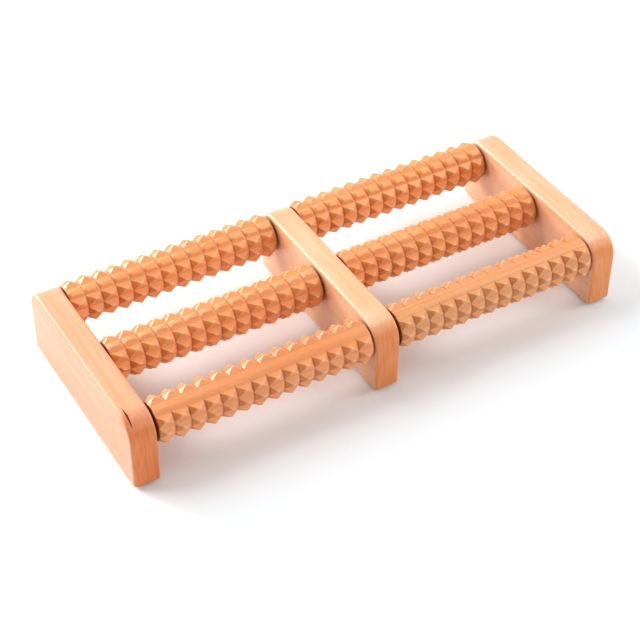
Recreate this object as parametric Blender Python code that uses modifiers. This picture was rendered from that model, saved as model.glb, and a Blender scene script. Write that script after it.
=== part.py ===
"""A foot massage roller: three upright wooden rails carry six spiked wooden rollers in two bays.

Each row's two rollers turn freely on one hidden steel rod that runs from the left rail to the right rail.
Metres, +Z up. X runs along the rollers, -Y is the front, and the origin is on the surface that the object
stands on, under its middle.
"""

import math

import bmesh
import bpy
from mathutils import Matrix

# Gap between pieces that touch on the real object
GAP = 0.0003

# Rails, cut from flat board; their two top corners are rounded
FRAME_LENGTH = 0.300
RAIL_THICKNESS = 0.015
RAIL_DEPTH = 0.126
RAIL_HEIGHT = 0.0425
RAIL_CORNER_RADIUS = 0.0125
RAIL_CORNER_STEPS = 8
RAIL_EDGE_RADIUS = 0.0015

# Rollers, with V grooves round them and along them, which leave four-sided spikes.
# One row of spikes is planed away to a smooth strip, and that lighter side comes to rest near the top
ROLLER_RADIUS = 0.013
GROOVE_RADIUS = 0.0105  # along the corners between two rows of spikes
RINGS = 14
ROWS = 10
AXIS_HEIGHT = 0.0305  # above the rails' underside
ROW_SPACING = 0.052  # between neighbouring rods

# Rods and the washers that keep the rollers off the rails
ROD_RADIUS = 0.0025
ROD_CHAMFER = 0.0004
BORE_CLEARANCE = 0.0004
SOCKET_DEPTH = 0.011
WASHER_RADIUS = 0.005
WASHER_THICKNESS = 0.0007

# Anti-slip pads under the rails
PAD_THICKNESS = 0.0012
PAD_LENGTH = 0.022
PAD_WIDTH = 0.010
PAD_END_INSET = 0.004

ROUND_STEPS = 20

RAIL_BASE = PAD_THICKNESS + GAP
ROD_HEIGHT = RAIL_BASE + AXIS_HEIGHT
BAY_LENGTH = (FRAME_LENGTH - 3 * RAIL_THICKNESS) / 2
END_PLAY = WASHER_THICKNESS + 2 * GAP
ROLLER_LENGTH = BAY_LENGTH - 2 * END_PLAY
ROD_BORE_RADIUS = ROD_RADIUS + GAP
ROLLER_BORE_RADIUS = ROD_RADIUS + BORE_CLEARANCE

RAIL_X = {
    "left": -(FRAME_LENGTH - RAIL_THICKNESS) / 2,
    "middle": 0.0,
    "right": (FRAME_LENGTH - RAIL_THICKNESS) / 2,
}
ROW_Y = {"front": -ROW_SPACING, "centre": 0.0, "back": ROW_SPACING}
BAY_X = {
    "left": -(BAY_LENGTH + RAIL_THICKNESS) / 2,
    "right": (BAY_LENGTH + RAIL_THICKNESS) / 2,
}

# How far towards the front each roller's smooth strip happens to face, in degrees from straight up
ROLLER_TURN = {
    ("front", "left"): 20.0,
    ("front", "right"): 10.5,
    ("centre", "left"): 11.0,
    ("centre", "right"): 9.0,
    ("back", "left"): 23.5,
    ("back", "right"): 27.5,
}

WOOD_PALE = (0.80, 0.53, 0.31)
WOOD_WARM = (0.76, 0.40, 0.18)
STEEL = (0.62, 0.62, 0.60)
RUBBER = (0.05, 0.05, 0.05)


def clear_scene():
    for obj in list(bpy.data.objects):
        bpy.data.objects.remove(obj)


def new_collection(name):
    collection = bpy.data.collections.new(name)
    bpy.context.scene.collection.children.link(collection)
    return collection


def principled(name, colour, roughness, metallic=0.0):
    material = bpy.data.materials.new(name)
    material.use_nodes = True
    shader = material.node_tree.nodes["Principled BSDF"]
    shader.inputs["Base Color"].default_value = (*colour, 1.0)
    shader.inputs["Roughness"].default_value = roughness
    shader.inputs["Metallic"].default_value = metallic
    return material


def add_object(name, data, collection, material=None):
    obj = bpy.data.objects.new(name, data)
    collection.objects.link(obj)
    if material and not data.materials:
        data.materials.append(material)
    return obj


def add_cutter(name, data, collection):
    cutter = add_object(name, data, collection)
    cutter.hide_render = True
    cutter.display_type = "WIRE"
    return cutter


def cut_by(obj, cutter, operation="DIFFERENCE"):
    boolean = obj.modifiers.new(cutter.name, "BOOLEAN")
    boolean.operation = operation
    boolean.object = cutter


def smooth_round_faces(mesh, sharp_degrees=30.0):
    mesh.shade_smooth()
    mesh.set_sharp_from_angle(angle=math.radians(sharp_degrees))


def evaluated_mesh(obj, name):
    """The object's mesh with its modifiers applied and any loose caps welded on."""
    graph = bpy.context.evaluated_depsgraph_get()
    mesh = bpy.data.meshes.new_from_object(obj.evaluated_get(graph))
    mesh.name = name
    bm = bmesh.new()
    bm.from_mesh(mesh)
    bmesh.ops.remove_doubles(bm, verts=bm.verts, dist=1e-6)
    bm.to_mesh(mesh)
    bm.free()
    return mesh


def cylinder_mesh(name, radius, length, steps=ROUND_STEPS):
    """A cylinder along X, centred on the origin."""
    bm = bmesh.new()
    bmesh.ops.create_cone(
        bm, cap_ends=True, segments=steps, radius1=radius, radius2=radius, depth=length
    )
    bmesh.ops.rotate(bm, verts=bm.verts, matrix=Matrix.Rotation(math.pi / 2, 3, "Y"))
    mesh = bpy.data.meshes.new(name)
    bm.to_mesh(mesh)
    bm.free()
    return mesh


def extruded_outline_mesh(name, points, thickness):
    """A closed 2D outline in XY, filled and given a thickness along Z."""
    curve = bpy.data.curves.new(name, "CURVE")
    curve.dimensions = "2D"
    curve.fill_mode = "BOTH"
    curve.extrude = thickness / 2
    spline = curve.splines.new("POLY")
    spline.points.add(len(points) - 1)
    for point, (x, y) in zip(spline.points, points):
        point.co = (x, y, 0.0, 1.0)
    spline.use_cyclic_u = True
    holder = add_object(name, curve, bpy.context.scene.collection)
    bpy.context.view_layer.update()
    mesh = evaluated_mesh(holder, name)
    bpy.data.objects.remove(holder)
    bpy.data.curves.remove(curve)
    return mesh


def turned_object(name, profile, steps, collection):
    """A profile of (radius, height) points, outer side down, turned about Z by a Screw modifier."""
    mesh = bpy.data.meshes.new(name)
    points = [(radius, 0.0, height) for radius, height in profile]
    mesh.from_pydata(points, [(i, i + 1) for i in range(len(points) - 1)], [])
    obj = add_object(name, mesh, collection)
    screw = obj.modifiers.new("Turn", "SCREW")
    screw.steps = steps
    screw.render_steps = steps
    screw.use_merge_vertices = True
    screw.merge_threshold = 1e-5
    return obj


# Rails


def rail_blank_mesh():
    """The rail's board, with its two top corners rounded."""
    bm = bmesh.new()
    bmesh.ops.create_cube(bm, size=1.0)
    bmesh.ops.scale(bm, verts=bm.verts, vec=(RAIL_THICKNESS, RAIL_DEPTH, RAIL_HEIGHT))
    top_corners = [
        edge
        for edge in bm.edges
        if all(vert.co.z > 0 for vert in edge.verts)
        and edge.verts[0].co.y * edge.verts[1].co.y > 0
        and abs(edge.verts[0].co.x - edge.verts[1].co.x) > RAIL_THICKNESS / 2
    ]
    bmesh.ops.bevel(
        bm,
        geom=top_corners,
        offset=RAIL_CORNER_RADIUS,
        offset_type="OFFSET",
        segments=RAIL_CORNER_STEPS,
        profile=0.5,
        affect="EDGES",
    )
    mesh = bpy.data.meshes.new("rail")
    bm.to_mesh(mesh)
    bm.free()
    return mesh


def ease_edges(obj):
    bevel = obj.modifiers.new("Eased edges", "BEVEL")
    bevel.width = RAIL_EDGE_RADIUS
    bevel.segments = 2
    bevel.limit_method = "ANGLE"
    bevel.angle_limit = math.radians(40.0)


def rod_socket_cutter(row, y, cutters):
    """Cuts one row's rod holes in all three rails: blind in the outer two, through the middle one."""
    inner_face = FRAME_LENGTH / 2 - RAIL_THICKNESS
    mesh = cylinder_mesh("rod_socket", ROD_BORE_RADIUS, 2 * (inner_face + SOCKET_DEPTH))
    cutter = add_cutter(f"{row}_rod_socket", mesh, cutters)
    cutter.location = (0.0, y, ROD_HEIGHT)
    return cutter


def build_rails(parts, cutters):
    wood = principled("rail_wood", WOOD_PALE, 0.5)
    sockets = [rod_socket_cutter(row, y, cutters) for row, y in ROW_Y.items()]
    for side, x in RAIL_X.items():
        rail = add_object(f"{side}_rail", rail_blank_mesh(), parts, wood)
        rail.location = (x, 0.0, RAIL_BASE + RAIL_HEIGHT / 2)
        ease_edges(rail)
        for socket in sockets:
            cut_by(rail, socket)
        smooth_round_faces(rail.data)


# Rollers


def blank_profile():
    """The bored bar that the spikes stand on, with a point at every ring groove."""
    half = ROLLER_LENGTH / 2
    outer = [(GROOVE_RADIUS, half - i * ROLLER_LENGTH / RINGS) for i in range(RINGS + 1)]
    return [*outer, (ROLLER_BORE_RADIUS, -half), (ROLLER_BORE_RADIUS, half), (GROOVE_RADIUS, half)]


def raise_spikes(mesh):
    """Draws each of the bar's flats out into a four-sided spike, except in the row that faces -X."""
    flat_radius = GROOVE_RADIUS * math.cos(math.pi / ROWS)
    bm = bmesh.new()
    bm.from_mesh(mesh)
    flats = [
        face
        for face in bm.faces
        if face.normal.xy.dot(face.calc_center_median().xy) > flat_radius / 2
        and face.normal.x > -math.cos(math.pi / ROWS)
    ]
    bmesh.ops.poke(bm, faces=flats, offset=ROLLER_RADIUS - flat_radius)
    bm.to_mesh(mesh)
    bm.free()


def roller_mesh(parts):
    """One roller along X with its smooth strip facing up, shared by all six."""
    blank = turned_object("roller_blank", blank_profile(), ROWS, parts)
    bpy.context.view_layer.update()
    mesh = evaluated_mesh(blank, "roller")
    bpy.data.objects.remove(blank)
    if ROWS % 2 == 0:
        mesh.transform(Matrix.Rotation(math.pi / ROWS, 4, "Z"))
    raise_spikes(mesh)
    mesh.transform(Matrix.Rotation(math.pi / 2, 4, "Y"))
    return mesh


def build_rollers(parts):
    wood = principled("roller_wood", WOOD_WARM, 0.5)
    mesh = roller_mesh(parts)
    for (row, side), turn in ROLLER_TURN.items():
        roller = add_object(f"{row}_{side}_roller", mesh, parts, wood)
        roller.location = (BAY_X[side], ROW_Y[row], ROD_HEIGHT)
        roller.rotation_euler.x = math.radians(turn)


# Rods and washers


def build_rods(parts):
    steel = principled("axle_steel", STEEL, 0.35, 1.0)
    length = FRAME_LENGTH - 2 * (RAIL_THICKNESS - SOCKET_DEPTH) - 2 * GAP
    mesh = cylinder_mesh("axle_rod", ROD_RADIUS, length)
    smooth_round_faces(mesh)
    for row, y in ROW_Y.items():
        rod = add_object(f"{row}_axle_rod", mesh, parts, steel)
        rod.location = (0.0, y, ROD_HEIGHT)
        chamfer = rod.modifiers.new("End chamfers", "BEVEL")
        chamfer.width = ROD_CHAMFER
        chamfer.segments = 1
        chamfer.limit_method = "ANGLE"
        chamfer.angle_limit = math.radians(60.0)


def washer_mesh(parts):
    """A flat ring about X, turned from a closed rectangle."""
    half = WASHER_THICKNESS / 2
    outline = [
        (WASHER_RADIUS, half),
        (WASHER_RADIUS, -half),
        (ROLLER_BORE_RADIUS, -half),
        (ROLLER_BORE_RADIUS, half),
        (WASHER_RADIUS, half),
    ]
    ring = turned_object("washer_ring", outline, ROUND_STEPS, parts)
    bpy.context.view_layer.update()
    mesh = evaluated_mesh(ring, "washer")
    mesh.transform(Matrix.Rotation(math.pi / 2, 4, "Y"))
    bpy.data.objects.remove(ring)
    smooth_round_faces(mesh)
    return mesh


def build_washers(parts):
    steel = principled("washer_steel", STEEL, 0.4, 1.0)
    mesh = washer_mesh(parts)
    offset = ROLLER_LENGTH / 2 + END_PLAY / 2
    for row, y in ROW_Y.items():
        for side, x in BAY_X.items():
            outward = math.copysign(1.0, x)
            for place, direction in (("outer", outward), ("inner", -outward)):
                washer = add_object(f"{row}_{side}_{place}_washer", mesh, parts, steel)
                washer.location = (x + direction * offset, y, ROD_HEIGHT)


# Pads


def pad_outline():
    """A strip with half-round ends, long in Y."""
    radius = PAD_WIDTH / 2
    centre = PAD_LENGTH / 2 - radius
    points = []
    for i in range(ROUND_STEPS + 2):
        half_end = i > ROUND_STEPS // 2
        angle = math.pi * (i - half_end) / (ROUND_STEPS // 2)
        y = radius * math.sin(angle) + (-centre if half_end else centre)
        points.append((radius * math.cos(angle), y))
    return points


def build_pads(parts):
    rubber = principled("pad_rubber", RUBBER, 0.8)
    mesh = extruded_outline_mesh("pad", pad_outline(), PAD_THICKNESS)
    smooth_round_faces(mesh)
    centre_y = RAIL_DEPTH / 2 - PAD_END_INSET - PAD_LENGTH / 2
    for side, x in RAIL_X.items():
        for end, y in (("front", -centre_y), ("back", centre_y)):
            pad = add_object(f"{side}_rail_{end}_pad", mesh, parts, rubber)
            pad.location = (x, y, PAD_THICKNESS / 2)


def main():
    clear_scene()
    parts = new_collection("foot_massage_roller")
    cutters = new_collection("cutters")
    build_rails(parts, cutters)
    build_rollers(parts)
    build_rods(parts)
    build_washers(parts)
    build_pads(parts)


main()
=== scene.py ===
"""The looks of a wooden foot massage roller: board rails, spiked rollers, rods, washers and pads.

Metres, in the CAD frame: X along the rollers, -Y the front, Z up from the surface it stands on.
Colours are linear RGB. Sizes of grain and other patterns are in millimetres.
"""

import math
import random

import bmesh
import bpy
from mathutils import Euler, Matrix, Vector


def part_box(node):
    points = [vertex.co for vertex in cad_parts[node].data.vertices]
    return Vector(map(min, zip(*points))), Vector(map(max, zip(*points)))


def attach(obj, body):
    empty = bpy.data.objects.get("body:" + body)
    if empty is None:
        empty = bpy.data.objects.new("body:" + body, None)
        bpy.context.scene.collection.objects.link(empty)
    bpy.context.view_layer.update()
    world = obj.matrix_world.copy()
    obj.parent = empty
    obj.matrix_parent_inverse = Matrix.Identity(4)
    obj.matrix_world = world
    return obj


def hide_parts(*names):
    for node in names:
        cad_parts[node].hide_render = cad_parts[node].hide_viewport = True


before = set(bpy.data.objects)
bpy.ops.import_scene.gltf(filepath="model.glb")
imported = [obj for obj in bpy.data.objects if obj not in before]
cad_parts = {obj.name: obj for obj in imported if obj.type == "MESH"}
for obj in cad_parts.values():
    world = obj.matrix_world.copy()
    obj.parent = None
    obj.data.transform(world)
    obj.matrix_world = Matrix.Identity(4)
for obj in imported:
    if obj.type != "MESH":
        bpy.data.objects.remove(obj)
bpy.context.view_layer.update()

MM = 0.001

# Meshes
JOIN_DISTANCE = 0.001 * MM
ROUND_STEPS = 64
SHARP_DEGREES = 50.0
ROLLER_SHARP_DEGREES = 80.0

# Rails
RAIL_CORNER_RADIUS = 12.5 * MM
RAIL_EDGE_RADIUS = 1.7 * MM
RAIL_CORNER_STEPS = 14
RAIL_EDGE_STEPS = 5
SOCKET_RADIUS = 2.8 * MM
SOCKET_SLACK = 0.3 * MM

# Rollers: rings of spikes along them, rows of spikes round them. One row is planed down to a strip
RINGS = 14
ROWS = 10
TIP_RADIUS = 13.0 * MM
GROOVE_RADIUS = 10.3 * MM
BORE_RADIUS = 2.9 * MM

ROW_NAMES = ("front", "centre", "back")

# For each roller: how far towards the front its strip faces at rest, in degrees from straight up,
# how much the rows of spikes twist along it, and how far from its axis the strip is planed
ROLLERS = {
    ("front", "left"): (20.0, 0.0, 10.35 * MM),
    ("front", "right"): (10.5, -7.0, 10.35 * MM),
    ("centre", "left"): (11.0, 0.0, 11.9 * MM),
    ("centre", "right"): (9.0, -5.0, 11.8 * MM),
    ("back", "left"): (23.5, 0.0, 11.3 * MM),
    ("back", "right"): (27.5, 0.0, 11.5 * MM),
}

# A spike's mesh: squares round its tip, each with these places along a side
SQUARE_SIZES = (0.06, 0.13, 0.93, 1.0)
SIDE_PLACES = (-1.0, -0.93, -0.45, 0.0, 0.45, 0.93)

# The two extra squares along a strip's edge lie this far either side of it, and are left out
# where it comes too near the other squares
STRIP_EDGE_GAP = 0.02
STRIP_EDGE_RANGE = (0.2, 0.88)

# A spike's shape, as shares of its half width or of the groove's depth
TIP_BLUNTNESS = 0.05
CREASE_SOFTNESS = 0.10
CREASE_REACH = 0.25
GROOVE_FILL = 0.03
TIP_WANDER = 0.05
TIP_WEAR = 0.06

# Small pieces
ROD_CHAMFER = 0.4 * MM
WASHER_CHAMFER = 0.12 * MM
PAD_EDGE_RADIUS = 0.35 * MM
PAD_EDGE_STEPS = 3
PAD_CORNER_STEPS = 12

# Wood grain: how long and how wide each pattern is, along and across the grain
CLOUD_GRAIN = (60.0, 14.0)
BAND_GRAIN = (90.0, 2.6)
FIBRE_GRAIN = (14.0, 0.35)
FLECK_GRAIN = (3.0, 0.45)
PORE_SIZE = 0.5
END_STREAK_WIDTH, END_STREAK_LENGTH = 0.8, 12.0
DEEPER_SHARE = (0.90, 0.80, 0.68)
DARKEST_SHARE = (0.78, 0.62, 0.50)
BAND_HEIGHT = 0.10 * MM
FIBRE_HEIGHT = 0.02 * MM

# Satin lacquer on the wood
COAT_WEIGHT = 0.60
COAT_ROUGHNESS = 0.28

# For each rail: pale and warm wood, end grain, and where in the pattern it is cut from
RAIL_WOODS = {
    "left": ((0.84, 0.45, 0.29), (0.81, 0.39, 0.22), (0.78, 0.25, 0.058), (3, 7, 1)),
    "middle": ((0.88, 0.57, 0.39), (0.85, 0.50, 0.30), (0.82, 0.285, 0.072), (13, 2, 6)),
    "right": ((0.88, 0.57, 0.40), (0.85, 0.50, 0.31), (0.82, 0.31, 0.085), (5, 19, 8)),
}
RAIL_ROUGHNESS = 0.42
RAIL_END_GRAIN = (0.35, 0.85)

# For each roller: pale and warm wood
ROLLER_WOODS = {
    ("front", "left"): ((0.85, 0.405, 0.190), (0.81, 0.34, 0.138)),
    ("front", "right"): ((0.78, 0.405, 0.195), (0.74, 0.345, 0.148)),
    ("centre", "left"): ((0.89, 0.45, 0.21), (0.85, 0.38, 0.15)),
    ("centre", "right"): ((0.87, 0.43, 0.19), (0.83, 0.35, 0.13)),
    ("back", "left"): ((0.89, 0.46, 0.21), (0.85, 0.39, 0.155)),
    ("back", "right"): ((0.88, 0.45, 0.20), (0.84, 0.38, 0.145)),
}
ROLLER_END_COLOUR = (0.50, 0.17, 0.055)
ROLLER_ROUGHNESS = 0.45
ROLLER_END_GRAIN = (0.80, 0.98)
# Painted shade on the spikes' faces towards the left rail, as shares of their colour
LEFT_FACE_SHADE_SHARE = (0.83, 0.68, 0.48)
# Painted highlight on the spikes' tips
TIP_HIGHLIGHT_COLOUR = (0.97, 0.72, 0.48)
# Painted shade in the cuts between the rings of spikes, as shares of their colour
RING_GROOVE_SHADE_SHARE = (0.66, 0.46, 0.34)

# The split over the left rail's front corner: its place from the outer face, how far it wanders,
# its half width, its depth, and how far the painted shade beside it could reach
SPLIT_INSET = 3.1 * MM
SPLIT_WANDER = 0.5 * MM
SPLIT_HALF_WIDTH = 0.55 * MM
SPLIT_DEPTH = 0.4 * MM
SPLIT_SHADE_REACH = 4.0 * MM
# Painted shade on the rounded corner beside the split
SPLIT_SIDE_SHADE_COLOUR = (0.80, 0.24, 0.09)
SPLIT_COLOUR = (0.13, 0.03, 0.01)

# Steel and rubber
AXLE_COLOUR, AXLE_ROUGHNESS = (0.62, 0.61, 0.59), 0.32
WASHER_COLOUR, WASHER_ROUGHNESS = (0.60, 0.60, 0.58), 0.38
STEEL_LINE_WIDTH, STEEL_LINE_LENGTH = 0.08, 6.0
STEEL_STAIN_SHARE = 0.7
STEEL_LINE_HEIGHT = 0.01 * MM
RUBBER_COLOUR = (0.035, 0.032, 0.030)
DUST_COLOUR = (0.085, 0.078, 0.070)
SPECKLE_HEIGHT = 0.03 * MM

# Studio
FLOOR_HALF_SIDE = 3.0
FLOOR_COLOUR = (0.872, 0.91, 0.936)
FLOOR_ROUGHNESS = 0.9
FLOOR_SPECULAR = 0.1
WORLD_STRENGTH = 0.53
CONTRAST_GAMMA = 0.80
SOFTBOX_DISTANCE = 1.6

# Square softboxes aimed at the middle: degrees from the back towards the right, degrees up,
# metres along a side, and watts
SOFTBOXES = {
    "back_left": (-27.0, 21.0, 0.6, 20.0),
    "back_left_high": (-55.0, 48.0, 0.7, 11.0),
    "back": (0.0, 38.0, 0.7, 3.0),
    "right_low": (115.0, 22.0, 0.7, 8.0),
    "right_high": (90.0, 50.0, 0.8, 4.5),
    "front": (170.0, 35.0, 0.8, 2.5),
}

# Camera, where the photographer stood: to the left of the front, looking down
CAMERA_PLACE = (-0.3624, -0.6057, 0.6180)
CAMERA_HEADING = 30.55
CAMERA_PITCH = 41.12
CAMERA_ROLL = 0.30
CAMERA_LENS = 93.5
CAMERA_SENSOR = 36.0
CAMERA_CLIP_START = 0.05


# Meshes


def new_object(name, mesh):
    obj = bpy.data.objects.new(name, mesh)
    bpy.context.scene.collection.objects.link(obj)
    return obj


def shade(obj, sharp_degrees=SHARP_DEGREES):
    """Smooth shading that keeps the flats flat."""
    obj.data.shade_smooth()
    obj.data.set_sharp_from_angle(angle=math.radians(sharp_degrees))
    weighted = obj.modifiers.new("Weighted normals", "WEIGHTED_NORMAL")
    weighted.mode = "FACE_AREA"
    weighted.keep_sharp = True


def joined_mesh(bm, name):
    """The mesh of bm, with points that coincide joined and its faces turned outwards."""
    bmesh.ops.remove_doubles(bm, verts=bm.verts, dist=JOIN_DISTANCE)
    bmesh.ops.recalc_face_normals(bm, faces=bm.faces)
    mesh = bpy.data.meshes.new(name)
    bm.to_mesh(mesh)
    bm.free()
    return mesh


def rounded_outline(width, height, top_radius, bottom_radius, inset, steps):
    """A rounded rectangle, moved inwards by inset, as (across, up) points from its middle."""
    corners = (
        (1, 1, top_radius, 0),
        (-1, 1, top_radius, 90),
        (-1, -1, bottom_radius, 180),
        (1, -1, bottom_radius, 270),
    )
    points = []
    for side, end, radius, start in corners:
        centre = (side * (width / 2 - radius), end * (height / 2 - radius))
        for step in range(steps + 1):
            angle = math.radians(start + 90 * step / steps)
            reach = radius - inset
            across = centre[0] + reach * math.cos(angle)
            points.append((across, centre[1] + reach * math.sin(angle)))
    return points


def eased_levels(thickness, radius, steps):
    """(height, inset) pairs through a slab whose edges are rounded, from one face to the other."""
    near = []
    for step in reversed(range(steps + 1)):
        angle = math.pi / 2 * step / steps
        height = -thickness / 2 + radius * (1 - math.sin(angle))
        near.append((height, radius * (1 - math.cos(angle))))
    far = [(-height, inset) for height, inset in reversed(near)]
    return near + far


def slab_mesh(name, outline_at, levels, place):
    """Outlines stacked through a slab. place turns (across, up, height) into a point."""
    bm = bmesh.new()
    loops = []
    for height, inset in levels:
        loops.append([bm.verts.new(place(a, b, height)) for a, b in outline_at(inset)])
    bm.faces.new(loops[0])
    bm.faces.new(reversed(loops[-1]))
    for low, high in zip(loops, loops[1:]):
        for i in range(len(low)):
            j = (i + 1) % len(low)
            bm.faces.new((low[i], high[i], high[j], low[j]))
    return joined_mesh(bm, name)


def turned_mesh(name, profile):
    """A closed profile of (along, radius) points turned about X. A radius of 0 closes an end."""
    bm = bmesh.new()
    rings = []
    for along, radius in profile:
        ring = []
        for step in range(ROUND_STEPS):
            angle = 2 * math.pi * step / ROUND_STEPS
            place = (along, radius * math.cos(angle), radius * math.sin(angle))
            ring.append(bm.verts.new(place))
        rings.append(ring)
    for low, high in zip(rings, rings[1:] + rings[:1]):
        for i in range(ROUND_STEPS):
            j = (i + 1) % ROUND_STEPS
            bm.faces.new((low[i], low[j], high[j], high[i]))
    return joined_mesh(bm, name)


def centre_and_size(node):
    low, high = (Vector(corner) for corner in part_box(node))
    return (low + high) / 2, high - low


# Nodes of materials


class Shader:
    """A material's node tree, with short ways to add and join nodes."""

    def __init__(self, name):
        self.material = bpy.data.materials.new(name)
        self.material.use_nodes = True
        self.tree = self.material.node_tree
        self.surface = self.tree.nodes["Principled BSDF"]

    def add(self, kind, settings=None, **inputs):
        node = self.tree.nodes.new(kind)
        for key, value in (settings or {}).items():
            setattr(node, key, value)
        for key, value in inputs.items():
            self.put(node.inputs[key.replace("_", " ")], value)
        return node

    def put(self, socket, value):
        """Links a node's output to an input, or sets the input to a fixed value."""
        if isinstance(value, bpy.types.NodeSocket):
            self.tree.links.new(value, socket)
        else:
            socket.default_value = value

    def math(self, operation, a, b=0.0):
        node = self.add("ShaderNodeMath", {"operation": operation})
        self.put(node.inputs[0], a)
        self.put(node.inputs[1], b)
        return node.outputs[0]

    def vector_math(self, operation, a, b=None):
        node = self.add("ShaderNodeVectorMath", {"operation": operation})
        self.put(node.inputs[0], a)
        if b is not None:
            node.inputs[1].default_value = b
        return node.outputs["Value" if operation in ("LENGTH", "DOT_PRODUCT") else "Vector"]

    def coordinates(self, kind):
        """Object or Normal coordinates, which turn with the piece."""
        return self.add("ShaderNodeTexCoord").outputs[kind]

    def parts(self, vector):
        """The X, Y and Z outputs of a vector."""
        node = self.add("ShaderNodeSeparateXYZ")
        self.put(node.inputs[0], vector)
        return node.outputs

    def stretched(self, scale, offset):
        """Object coordinates in millimetres divided by scale along each axis, then moved."""
        mapping = self.add("ShaderNodeMapping", {"vector_type": "POINT"})
        self.put(mapping.inputs["Vector"], self.coordinates("Object"))
        mapping.inputs["Scale"].default_value = [1 / (MM * size) for size in scale]
        mapping.inputs["Location"].default_value = offset
        return mapping.outputs["Vector"]

    def noise(self, scale, offset, detail=3.0, roughness=0.5, distortion=0.0):
        node = self.add(
            "ShaderNodeTexNoise",
            Scale=1.0,
            Detail=detail,
            Roughness=roughness,
            Distortion=distortion,
        )
        self.put(node.inputs["Vector"], self.stretched(scale, offset))
        return node.outputs["Fac"]

    def ramp(self, value, *stops):
        """Maps a number through (place, number) stops, as a grey."""
        node = self.add("ShaderNodeValToRGB")
        self.put(node.inputs["Fac"], value)
        elements = node.color_ramp.elements
        while len(elements) < len(stops):
            elements.new(0.5)
        for element, (place, grey) in zip(elements, stops):
            element.position = place
            element.color = (grey, grey, grey, 1.0)
        return node.outputs["Color"]

    def mix(self, amount, a, b, blend="MIX"):
        settings = {"data_type": "RGBA", "blend_type": blend, "clamp_factor": True}
        node = self.add("ShaderNodeMix", settings)
        self.put(node.inputs[0], amount)
        for key, colour in (("A", a), ("B", b)):
            linked = isinstance(colour, bpy.types.NodeSocket)
            self.put(node.inputs[key], colour if linked else (*colour, 1.0))
        return node.outputs["Result"]

    def tint(self, amount, colour, blend="MIX"):
        """Mixes a colour into what the base colour is so far."""
        base = self.surface.inputs["Base Color"]
        self.put(base, self.mix(amount, base.links[0].from_socket, colour, blend))

    def bump(self, height, distance, strength, after=None):
        node = self.add("ShaderNodeBump", Strength=strength, Distance=distance)
        self.put(node.inputs["Height"], height)
        if after is not None:
            self.put(node.inputs["Normal"], after)
        return node.outputs["Normal"]


def scaled(colour, shares):
    return tuple(channel * share for channel, share in zip(colour, shares))


# Wood


def end_grain_amount(shader, grain_axis, first, full):
    """How far the surface cuts across the grain, from 0 to 1.

    It grows as the share of the surface's normal along the grain goes from first to full.
    """
    normal = shader.parts(shader.coordinates("Normal"))
    return shader.ramp(shader.math("ABSOLUTE", normal[grain_axis]), (first, 0.0), (full, 1.0))


def wood(name, grain_axis, pale, warm, end_colour, offset, roughness, end_range):
    """Fine-grained hardwood with growth bands, fibres, short dark flecks and denser end grain."""

    def along(length, width):
        return [length if axis == grain_axis else width for axis in "XYZ"]

    shader = Shader(name)
    clouds = shader.noise(along(*CLOUD_GRAIN), offset, detail=2.0)
    bands = shader.noise(along(*BAND_GRAIN), offset, detail=4.0, roughness=0.6, distortion=0.4)
    fibres = shader.noise(along(*FIBRE_GRAIN), offset, roughness=0.65)
    flecks = shader.noise(along(*FLECK_GRAIN), offset, detail=1.0)
    deeper = scaled(warm, DEEPER_SHARE)
    colour = shader.mix(shader.ramp(clouds, (0.32, 0.0), (0.68, 1.0)), pale, warm)
    colour = shader.mix(shader.ramp(bands, (0.46, 0.0), (0.70, 0.55)), colour, deeper)
    colour = shader.mix(shader.ramp(fibres, (0.50, 0.0), (0.78, 0.45)), colour, deeper)
    colour = shader.mix(shader.ramp(flecks, (0.66, 0.0), (0.74, 0.45)), colour, end_colour)

    pores = shader.noise((PORE_SIZE, PORE_SIZE, PORE_SIZE), offset, detail=2.0)
    streak_size = (END_STREAK_WIDTH, END_STREAK_LENGTH, END_STREAK_LENGTH)
    streaks = shader.noise(streak_size, offset, roughness=0.6)
    darkest = scaled(end_colour, DARKEST_SHARE)
    end = shader.mix(shader.ramp(pores, (0.40, 0.0), (0.62, 0.6)), end_colour, deeper)
    end = shader.mix(shader.ramp(streaks, (0.40, 0.0), (0.66, 0.55)), end, darkest)
    colour = shader.mix(end_grain_amount(shader, grain_axis, *end_range), colour, end)

    surface = shader.surface.inputs
    shader.put(surface["Base Color"], colour)
    sheen_stops = ((0.25, roughness - 0.06), (0.8, roughness + 0.10))
    shader.put(surface["Roughness"], shader.ramp(fibres, *sheen_stops))
    surface["Specular IOR Level"].default_value = 0.5
    surface["Coat Weight"].default_value = COAT_WEIGHT
    surface["Coat Roughness"].default_value = COAT_ROUGHNESS
    fibre_bump = shader.bump(fibres, FIBRE_HEIGHT, 0.6)
    shader.put(surface["Normal"], shader.bump(bands, BAND_HEIGHT, 0.5, fibre_bump))
    return shader


def paint_shade_on_left_faces(shader):
    """Painted shade: the spikes' faces towards the left rail are darker than the others, but the
    ends aren't.
    """
    normal = shader.parts(shader.coordinates("Normal"))
    leftwards = shader.math("MULTIPLY", normal["X"], -1.0)
    amount = shader.ramp(leftwards, (0.24, 0.0), (0.48, 1.0), (0.80, 1.0), (0.95, 0.0))
    shader.tint(amount, LEFT_FACE_SHADE_SHARE, "MULTIPLY")


def paint_tip_highlights(shader):
    """Painted highlight: the tips paler, in patches."""
    per_tip = 1.0 / TIP_RADIUS
    across = shader.vector_math("MULTIPLY", shader.coordinates("Object"), (0.0, per_tip, per_tip))
    reach = shader.vector_math("LENGTH", across)
    patches = shader.noise((5.0, 3.0, 3.0), (2, 2, 2), detail=2.0)
    highlight_patches = shader.ramp(patches, (0.30, 0.6), (0.65, 1.0))
    near_tip = shader.ramp(reach, (0.90, 0.0), (0.985, 0.42))
    shader.tint(shader.math("MULTIPLY", near_tip, highlight_patches), TIP_HIGHLIGHT_COLOUR)


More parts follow.
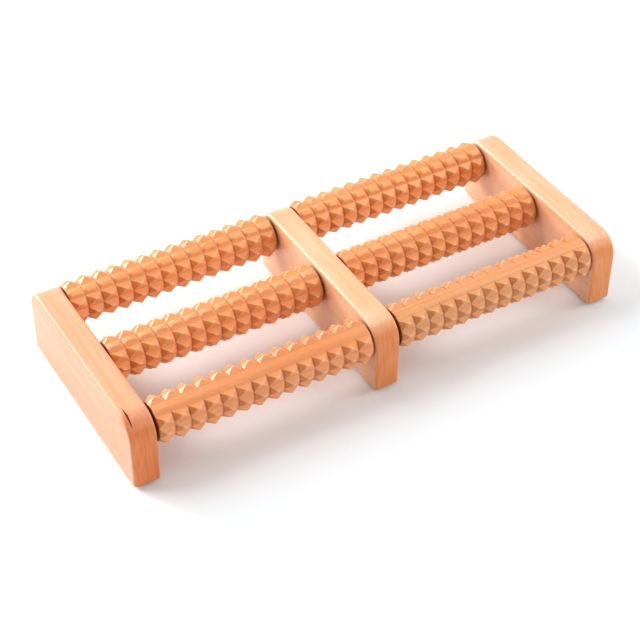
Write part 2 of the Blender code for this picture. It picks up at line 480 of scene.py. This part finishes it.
def paint_ring_groove_shade(shader, pitch, strip_turn):
    """Painted shade in the cuts between the rings of spikes, in patches, but not on the planed
    strip.
    """
    where = shader.parts(shader.coordinates("Object"))
    ring_place = shader.math("PINGPONG", shader.math("DIVIDE", where["X"], pitch), 0.5)
    in_groove = shader.ramp(ring_place, (0.0, 1.0), (0.04, 0.7), (0.09, 0.0))
    turn = math.radians(strip_turn)
    strip_normal = (0.0, -math.sin(turn), math.cos(turn))
    facing = shader.vector_math("DOT_PRODUCT", shader.coordinates("Normal"), strip_normal)
    off_strip = shader.ramp(facing, (0.93, 1.0), (0.98, 0.0))
    patches = shader.noise((2.5, 2.5, 2.5), (9, 9, 9), detail=2.0)
    patchy = shader.ramp(patches, (0.30, 0.45), (0.65, 1.0))
    amount = shader.math("MULTIPLY", shader.math("MULTIPLY", in_groove, off_strip), patchy)
    shader.tint(amount, RING_GROOVE_SHADE_SHARE, "MULTIPLY")


def split_corner(shader, across, corner):
    """A short split along the grain over a rail's front corner, with painted shade of the rounded
    corner outside it.

    across is where it lies through the thickness, corner the middle of the corner's curve as
    (along, up). Its place round the corner is in half turns: 0 faces the front and 0.5 faces up.
    """
    where = shader.parts(shader.coordinates("Object"))
    back = shader.math("SUBTRACT", where["Y"], corner[0])
    up = shader.math("SUBTRACT", where["Z"], corner[1])
    turned = shader.math("ARCTAN2", up, shader.math("MULTIPLY", back, -1.0))
    half_turns = shader.math("DIVIDE", turned, math.pi)

    waves = shader.noise((30.0, 2.0, 2.0), (1, 1, 1), detail=1.0)
    wander = shader.math("MULTIPLY", waves, SPLIT_WANDER)
    inwards = shader.math("SUBTRACT", shader.math("SUBTRACT", where["X"], across), wander)
    opening_stops = ((0.22, 0.0), (0.30, 0.6), (0.42, 1.0), (0.50, 0.7), (0.60, 0.0))
    opening = shader.ramp(half_turns, *opening_stops)
    half_width = shader.math("MULTIPLY", opening, SPLIT_HALF_WIDTH)
    inside = shader.math("SUBTRACT", half_width, shader.math("ABSOLUTE", inwards))
    split = shader.ramp(shader.math("MULTIPLY", inside, 1 / MM), (0.0, 0.0), (0.12, 1.0))

    outwards = shader.math("MULTIPLY", inwards, -1 / SPLIT_SHADE_REACH)
    beside = shader.ramp(outwards, (0.0, 0.0), (0.06, 1.0), (0.50, 0.9), (0.70, 0.0))
    beside_stops = ((0.04, 0.0), (0.14, 0.9), (0.42, 0.8), (0.53, 0.0))
    beside_shade = shader.math("MULTIPLY", beside, shader.ramp(half_turns, *beside_stops))

    # Painted shade on the rounded corner between the split and the outer face
    shader.tint(beside_shade, SPLIT_SIDE_SHADE_COLOUR)
    shader.tint(split, SPLIT_COLOUR)
    normal = shader.surface.inputs["Normal"]
    sunk = shader.math("MULTIPLY", split, -1.0)
    shader.put(normal, shader.bump(sunk, SPLIT_DEPTH, 1.0, normal.links[0].from_socket))


# Rails


def build_rail(side, cutters):
    node = f"{side}_rail"
    centre, size = centre_and_size(node)
    thickness, depth, height = size

    def outline_at(inset):
        radii = (RAIL_CORNER_RADIUS, RAIL_EDGE_RADIUS)
        return rounded_outline(depth, height, *radii, inset, RAIL_CORNER_STEPS)

    def place(across, up, through):
        return centre + Vector((through, across, up))

    levels = eased_levels(thickness, RAIL_EDGE_RADIUS, RAIL_EDGE_STEPS)
    rail = new_object(f"{node}_board", slab_mesh(node, outline_at, levels, place))
    for cutter in cutters:
        boolean = rail.modifiers.new(cutter.name, "BOOLEAN")
        boolean.object = cutter
    shade(rail)
    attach(rail, "frame")
    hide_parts(node)
    return rail


def socket_cutters():
    """Holes for the rods, right through the middle rail and blind in the outer two."""
    cutters = []
    for row in ROW_NAMES:
        centre, size = centre_and_size(f"{row}_axle_rod")
        half = size.x / 2 + SOCKET_SLACK
        profile = [(-half, 0.0), (-half, SOCKET_RADIUS), (half, SOCKET_RADIUS), (half, 0.0)]
        cutter = new_object(f"{row}_socket_cutter", turned_mesh(f"{row}_socket", profile))
        cutter.location = centre
        cutters.append(cutter)
    return cutters


def apply_modifiers(obj):
    """Makes the evaluated mesh the object's own, with its normals kept."""
    graph = bpy.context.evaluated_depsgraph_get()
    mesh = bpy.data.meshes.new_from_object(
        obj.evaluated_get(graph), preserve_all_data_layers=True, depsgraph=graph
    )
    obj.modifiers.clear()
    obj.data = mesh


def build_rails():
    shaders = {}
    for side, colours_and_offset in RAIL_WOODS.items():
        name = f"rail_wood_{side}"
        shaders[side] = wood(name, "Y", *colours_and_offset, RAIL_ROUGHNESS, RAIL_END_GRAIN)
    centre, size = centre_and_size("left_rail")
    front, top = centre.y - size.y / 2, centre.z + size.z / 2
    corner = (front + RAIL_CORNER_RADIUS, top - RAIL_CORNER_RADIUS)
    split_corner(shaders["left"], centre.x - size.x / 2 + SPLIT_INSET, corner)
    cutters = socket_cutters()
    for side, shader in shaders.items():
        rail = build_rail(side, cutters)
        bpy.context.view_layer.update()
        apply_modifiers(rail)
        rail.data.materials.clear()
        rail.data.materials.append(shader.material)
    for cutter in cutters:
        bpy.data.objects.remove(cutter)


# Rollers


def square_point(k):
    """The k-th place round a square of half-side 1, as (along, round)."""
    side, place = divmod(k, len(SIDE_PLACES))
    w = SIDE_PLACES[place]
    return ((1.0, w), (-w, 1.0), (-1.0, -w), (w, -1.0))[side]


def angle_off_row(share):
    """The angle from a row's middle where its flank is down by that share of the groove's depth.

    The flanks are planes from tip to groove, so the radius falls unevenly with the angle.
    """
    half_row = math.pi / ROWS
    tip = Vector((TIP_RADIUS, 0.0))
    groove = Vector((GROOVE_RADIUS * math.cos(half_row), GROOVE_RADIUS * math.sin(half_row)))
    flank = groove - tip
    radius = TIP_RADIUS - (TIP_RADIUS - GROOVE_RADIUS) * abs(share)
    b, c = tip.dot(flank), tip.dot(tip) - radius * radius
    t = (-b - math.sqrt(max(b * b - flank.dot(flank) * c, 0.0))) / flank.dot(flank)
    on_flank = tip + flank * t
    return math.copysign(math.atan2(on_flank.y, on_flank.x), share)


def soft_max(a, b, softness):
    gap = max(softness - abs(a - b), 0.0)
    return max(a, b) + gap * gap / (4 * softness)


def spike_fall(along, around):
    """How far down its flanks a place is: 0 at a pointed tip, 1 at the bottom of a sharp groove."""
    a, b = abs(along), abs(around)
    fall = soft_max(a, b, CREASE_SOFTNESS * min(1.0, max(a, b) / CREASE_REACH))
    blunt = math.hypot(fall, TIP_BLUNTNESS) - TIP_BLUNTNESS
    blunt /= math.hypot(1.0, TIP_BLUNTNESS) - TIP_BLUNTNESS
    return min(blunt, 1.0 - GROOVE_FILL)


class RollerMesh:
    """Collects one roller's points, joining those that neighbouring spikes share."""

    def __init__(self, length, turn, twist, strip_radius, seed):
        self.length = length
        self.turn = math.radians(turn)
        self.twist = math.radians(twist)
        self.strip_radius = strip_radius
        self.chance = random.Random(seed)
        self.points = []
        self.index = {}
        self.faces = []

    def vertex(self, along, radius, angle):
        """A point at that angle from the strip's middle, turning towards the front."""
        angle += self.turn + self.twist * along / self.length
        point = (along, -radius * math.sin(angle), radius * math.cos(angle))
        key = tuple(round(value / JOIN_DISTANCE) for value in point)
        if key not in self.index:
            self.index[key] = len(self.points)
            self.points.append(point)
        return self.index[key]

    def radius_at(self, fall, row, angle):
        """The radius at a place that has fallen so far, cut off by the strip's plane in row 0."""
        radius = TIP_RADIUS - (TIP_RADIUS - GROOVE_RADIUS) * fall
        return min(radius, self.strip_radius / math.cos(angle)) if row == 0 else radius

    def sizes(self, row):
        """The sizes of a spike's squares, with two more where the strip's plane cuts it."""
        cut = (TIP_RADIUS - self.strip_radius) / (TIP_RADIUS - GROOVE_RADIUS)
        if row != 0 or not STRIP_EDGE_RANGE[0] < cut < STRIP_EDGE_RANGE[1]:
            return SQUARE_SIZES
        return sorted((*SQUARE_SIZES, cut - STRIP_EDGE_GAP, cut + STRIP_EDGE_GAP))

    def spike(self, ring, row):
        pitch = self.length / RINGS
        middle = (ring + 0.5) * pitch - self.length / 2
        row_angle = row * 2 * math.pi / ROWS
        wander = (self.chance.gauss(0, TIP_WANDER), self.chance.gauss(0, TIP_WANDER))
        worn = abs(self.chance.gauss(0, TIP_WEAR))
        around_count = 4 * len(SIDE_PLACES)
        squares = []
        for size in self.sizes(row):
            square = []
            for k in range(around_count):
                u, v = (size * share for share in square_point(k))
                fall = spike_fall(u, v)
                fall += worn * (1 - fall)
                u += wander[0] * (1 - size)
                v += wander[1] * (1 - size)
                angle = row_angle + angle_off_row(v)
                radius = self.radius_at(fall, row, angle)
                square.append(self.vertex(middle + u * pitch / 2, radius, angle))
            squares.append(square)
        self.faces.append(squares[0])
        for inner, outer in zip(squares, squares[1:]):
            for k in range(around_count):
                j = (k + 1) % around_count
                self.faces.append([inner[k], outer[k], outer[j], inner[j]])

    def end(self, side):
        """The flat end and half of the bore."""
        edge = []
        for row in range(ROWS):
            for place in SIDE_PLACES:
                angle = row * 2 * math.pi / ROWS + angle_off_row(place)
                edge.append((self.radius_at(spike_fall(1.0, place), row, angle), angle))
        x = side * self.length / 2
        rim = [self.vertex(x, radius, angle) for radius, angle in edge]
        mouth = [self.vertex(x, BORE_RADIUS, angle) for _, angle in edge]
        middle = [self.vertex(0.0, BORE_RADIUS, angle) for _, angle in edge]
        for i in range(len(edge)):
            j = (i + 1) % len(edge)
            self.faces.append([rim[i], rim[j], mouth[j], mouth[i]])
            self.faces.append([mouth[i], mouth[j], middle[j], middle[i]])

    def build(self, name):
        for ring in range(RINGS):
            for row in range(ROWS):
                self.spike(ring, row)
        self.end(1)
        self.end(-1)
        mesh = bpy.data.meshes.new(name)
        mesh.from_pydata(self.points, [], self.faces)
        bm = bmesh.new()
        bm.from_mesh(mesh)
        bmesh.ops.recalc_face_normals(bm, faces=bm.faces)
        bm.to_mesh(mesh)
        bm.free()
        return mesh


def build_roller(row, side, material, seed):
    """The roller's origin lies on its rod's axis, so its material turns with it."""
    node = f"{row}_{side}_roller"
    low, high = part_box(node)
    rod_low, rod_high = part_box(f"{row}_axle_rod")
    turned = RollerMesh(high[0] - low[0], *ROLLERS[row, side], seed)
    roller = new_object(f"{node}_turned", turned.build(node))
    roller.location = (
        (low[0] + high[0]) / 2,
        (rod_low[1] + rod_high[1]) / 2,
        (rod_low[2] + rod_high[2]) / 2,
    )
    roller.data.materials.append(material)
    shade(roller, ROLLER_SHARP_DEGREES)
    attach(roller, f"{node}_body")
    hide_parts(node)


def build_rollers():
    for seed, ((row, side), (pale, warm)) in enumerate(ROLLER_WOODS.items(), start=1):
        low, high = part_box(f"{row}_{side}_roller")
        colours = (pale, warm, ROLLER_END_COLOUR)
        offset = (7 * seed, 3 * seed, 11 * seed)
        name = f"roller_wood_{row}_{side}"
        shader = wood(name, "X", *colours, offset, ROLLER_ROUGHNESS, ROLLER_END_GRAIN)
        # Painted shade on the spikes' faces towards the left rail
        paint_shade_on_left_faces(shader)
        # Painted highlight on the spikes' tips
        paint_tip_highlights(shader)
        # Painted shade in the cuts between the rings of spikes
        paint_ring_groove_shade(shader, (high[0] - low[0]) / RINGS, ROLLERS[row, side][0])
        build_roller(row, side, shader.material, seed)


# Rods and washers


def steel(name, colour, roughness, line_axis):
    """Drawn or rolled steel, with fine lines across one axis and faint stains."""
    shader = Shader(name)
    line_size = [STEEL_LINE_WIDTH if axis == line_axis else STEEL_LINE_LENGTH for axis in "XYZ"]
    lines = shader.noise(line_size, (0, 0, 0), detail=2.0)
    stains = shader.noise((9.0, 3.0, 3.0), (4, 4, 4))
    stained = tuple(channel * STEEL_STAIN_SHARE for channel in colour)
    surface = shader.surface.inputs
    stain_amount = shader.ramp(stains, (0.4, 0.0), (0.7, 1.0))
    shader.put(surface["Base Color"], shader.mix(stain_amount, colour, stained))
    roughness_stops = ((0.3, roughness - 0.08), (0.7, roughness + 0.10))
    shader.put(surface["Roughness"], shader.ramp(lines, *roughness_stops))
    surface["Metallic"].default_value = 1.0
    shader.put(surface["Normal"], shader.bump(lines, STEEL_LINE_HEIGHT, 0.5))
    return shader.material


def turned_piece(node, made, inner_radius, chamfer, material):
    """A chamfered round piece as long and as wide as its CAD node. made ends its name."""
    centre, size = centre_and_size(node)
    half, radius = size.x / 2, size.z / 2
    profile = [
        (-half, inner_radius),
        (-half, radius - chamfer),
        (-half + chamfer, radius),
        (half - chamfer, radius),
        (half, radius - chamfer),
        (half, inner_radius),
    ]
    piece = new_object(f"{node}_{made}", turned_mesh(node, profile))
    piece.location = centre
    piece.data.materials.append(material)
    shade(piece)
    return piece


def build_rods():
    material = steel("axle_steel", AXLE_COLOUR, AXLE_ROUGHNESS, "X")
    for row in ROW_NAMES:
        node = f"{row}_axle_rod"
        rod = turned_piece(node, "drawn", 0.0, ROD_CHAMFER, material)
        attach(rod, "frame")
        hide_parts(node)


def build_washers():
    material = steel("washer_steel", WASHER_COLOUR, WASHER_ROUGHNESS, "Y")
    for row in ROW_NAMES:
        for side in ("left", "right"):
            for place in ("outer", "inner"):
                node = f"{row}_{side}_{place}_washer"
                washer = turned_piece(node, "pressed", BORE_RADIUS, WASHER_CHAMFER, material)
                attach(washer, "frame")
                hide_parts(node)


# Pads


def rubber(name):
    """Matt dark rubber, speckled and dusty."""
    shader = Shader(name)
    speckle = shader.noise((0.7, 0.7, 0.7), (0, 0, 0))
    dust = shader.noise((7.0, 7.0, 7.0), (5, 5, 5))
    surface = shader.surface.inputs
    dust_amount = shader.ramp(dust, (0.45, 0.0), (0.75, 1.0))
    shader.put(surface["Base Color"], shader.mix(dust_amount, RUBBER_COLOUR, DUST_COLOUR))
    shader.put(surface["Roughness"], shader.ramp(speckle, (0.3, 0.72), (0.7, 0.9)))
    shader.put(surface["Normal"], shader.bump(speckle, SPECKLE_HEIGHT, 0.6))
    return shader.material


def build_pads():
    material = rubber("pad_rubber")
    for side in ("left", "middle", "right"):
        for end in ("front", "back"):
            node = f"{side}_rail_{end}_pad"
            centre, size = centre_and_size(node)
            radius = size.x / 2

            def outline_at(inset):
                return rounded_outline(size.x, size.y, radius, radius, inset, PAD_CORNER_STEPS)

            def place(across, along, up):
                return centre + Vector((across, along, up))

            levels = eased_levels(size.z, PAD_EDGE_RADIUS, PAD_EDGE_STEPS)
            pad = new_object(f"{node}_moulded", slab_mesh(node, outline_at, levels, place))
            pad.data.materials.append(material)
            shade(pad)
            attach(pad, "frame")
            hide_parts(node)


# Studio


def build_floor():
    bm = bmesh.new()
    bmesh.ops.create_grid(bm, x_segments=1, y_segments=1, size=FLOOR_HALF_SIDE)
    mesh = bpy.data.meshes.new("floor")
    bm.to_mesh(mesh)
    bm.free()
    floor = new_object("floor", mesh)
    shader = Shader("floor_paper")
    shader.surface.inputs["Base Color"].default_value = (*FLOOR_COLOUR, 1.0)
    shader.surface.inputs["Roughness"].default_value = FLOOR_ROUGHNESS
    shader.surface.inputs["Specular IOR Level"].default_value = FLOOR_SPECULAR
    mesh.materials.append(shader.material)


def add_softbox(name, heading, elevation, side, power):
    heading, elevation = math.radians(heading), math.radians(elevation)
    level = math.cos(elevation)
    towards = (level * math.sin(heading), level * math.cos(heading), math.sin(elevation))
    place = Vector(towards) * SOFTBOX_DISTANCE
    light = bpy.data.lights.new(name, "AREA")
    light.shape = "SQUARE"
    light.size = side
    light.energy = power
    lamp = new_object(name, light)
    lamp.location = place
    lamp.rotation_euler = (-place).to_track_quat("-Z", "Y").to_euler()


def build_lights():
    scene = bpy.context.scene
    world = bpy.data.worlds.new("studio")
    world.use_nodes = True
    background = world.node_tree.nodes["Background"]
    background.inputs["Color"].default_value = (1.0, 1.0, 1.0, 1.0)
    background.inputs["Strength"].default_value = WORLD_STRENGTH
    scene.world = world
    for name, settings in SOFTBOXES.items():
        add_softbox(name, *settings)
    scene.view_settings.view_transform = "Standard"
    scene.view_settings.look = "None"
    scene.view_settings.gamma = CONTRAST_GAMMA


def build_camera():
    data = bpy.data.cameras.new("camera")
    data.lens = CAMERA_LENS
    data.sensor_width = CAMERA_SENSOR
    data.clip_start = CAMERA_CLIP_START
    camera = new_object("camera", data)
    camera.location = CAMERA_PLACE
    tilt, heading = math.radians(90 - CAMERA_PITCH), math.radians(-CAMERA_HEADING)
    upright = Euler((tilt, 0.0, heading)).to_matrix()
    rolled = upright @ Euler((0.0, 0.0, math.radians(CAMERA_ROLL))).to_matrix()
    camera.rotation_euler = rolled.to_euler()
    bpy.context.scene.camera = camera


build_rails()
build_rollers()
build_rods()
build_washers()
build_pads()
build_floor()
build_lights()
build_camera()
